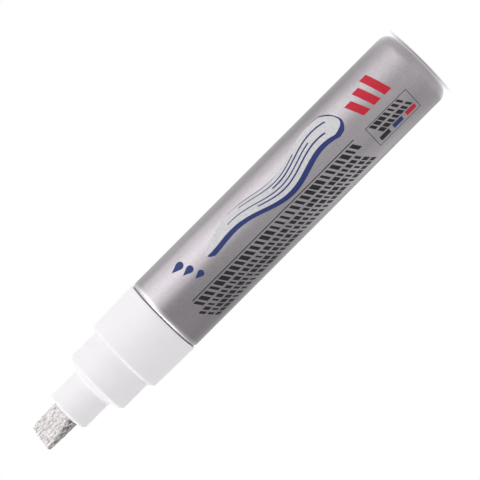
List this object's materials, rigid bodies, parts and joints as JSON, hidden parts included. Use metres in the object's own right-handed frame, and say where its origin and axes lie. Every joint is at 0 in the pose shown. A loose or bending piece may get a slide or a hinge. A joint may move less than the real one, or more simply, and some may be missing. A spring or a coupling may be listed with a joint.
{
  "type": "paint marker",
  "caption": "Uncapped paint marker: silver barrel rolled over a white collar, white nib holder and a broad chisel felt nib that pushes a sprung valve open",
  "frame": {"origin": "Middle of the flat tail the marker stands on.", "axes": "+Z runs along the marker's axis from tail to nib; X runs along the nib's writing edge; the end of the edge that stands furthest out is at -X."},
  "size_m": [0.022, 0.022, 0.1342],
  "materials": {
    "silver_lacquer": "satin silver lacquer with printed decoration",
    "white_plastic": "smooth moulded",
    "felt": "felt wet with silver paint",
    "seal_rubber": "matte",
    "natural_plastic": "milky",
    "spring_steel": "drawn wire",
    "ball_steel": "polished"
  },
  "bodies": {
    "barrel": {"barrel": "silver_lacquer", "collar": "white_plastic", "collar_gasket": "seal_rubber", "valve_body": "natural_plastic", "nib_holder": "white_plastic", "valve_cage": "natural_plastic", "valve_spring": "spring_steel"},
    "plunger": {"nib": "felt", "valve_rod": "natural_plastic", "valve_washer": "seal_rubber", "valve_poppet": "natural_plastic"},
    "ball": {"mixing_ball": "ball_steel"}
  },
  "joints": [
    {"name": "nib_press", "type": "slide", "parent": "barrel", "child": "plunger", "axis": [0, 0, -1], "range_m": [0, 0.0025], "stiffness_N_per_m": 400, "springref_m": -0.004, "deforming": ["valve_spring"]},
    {"name": "ball_rise", "type": "slide", "parent": "barrel", "child": "ball", "axis": [0, 0, 1], "range_m": [0, 0.06]}
  ]
}
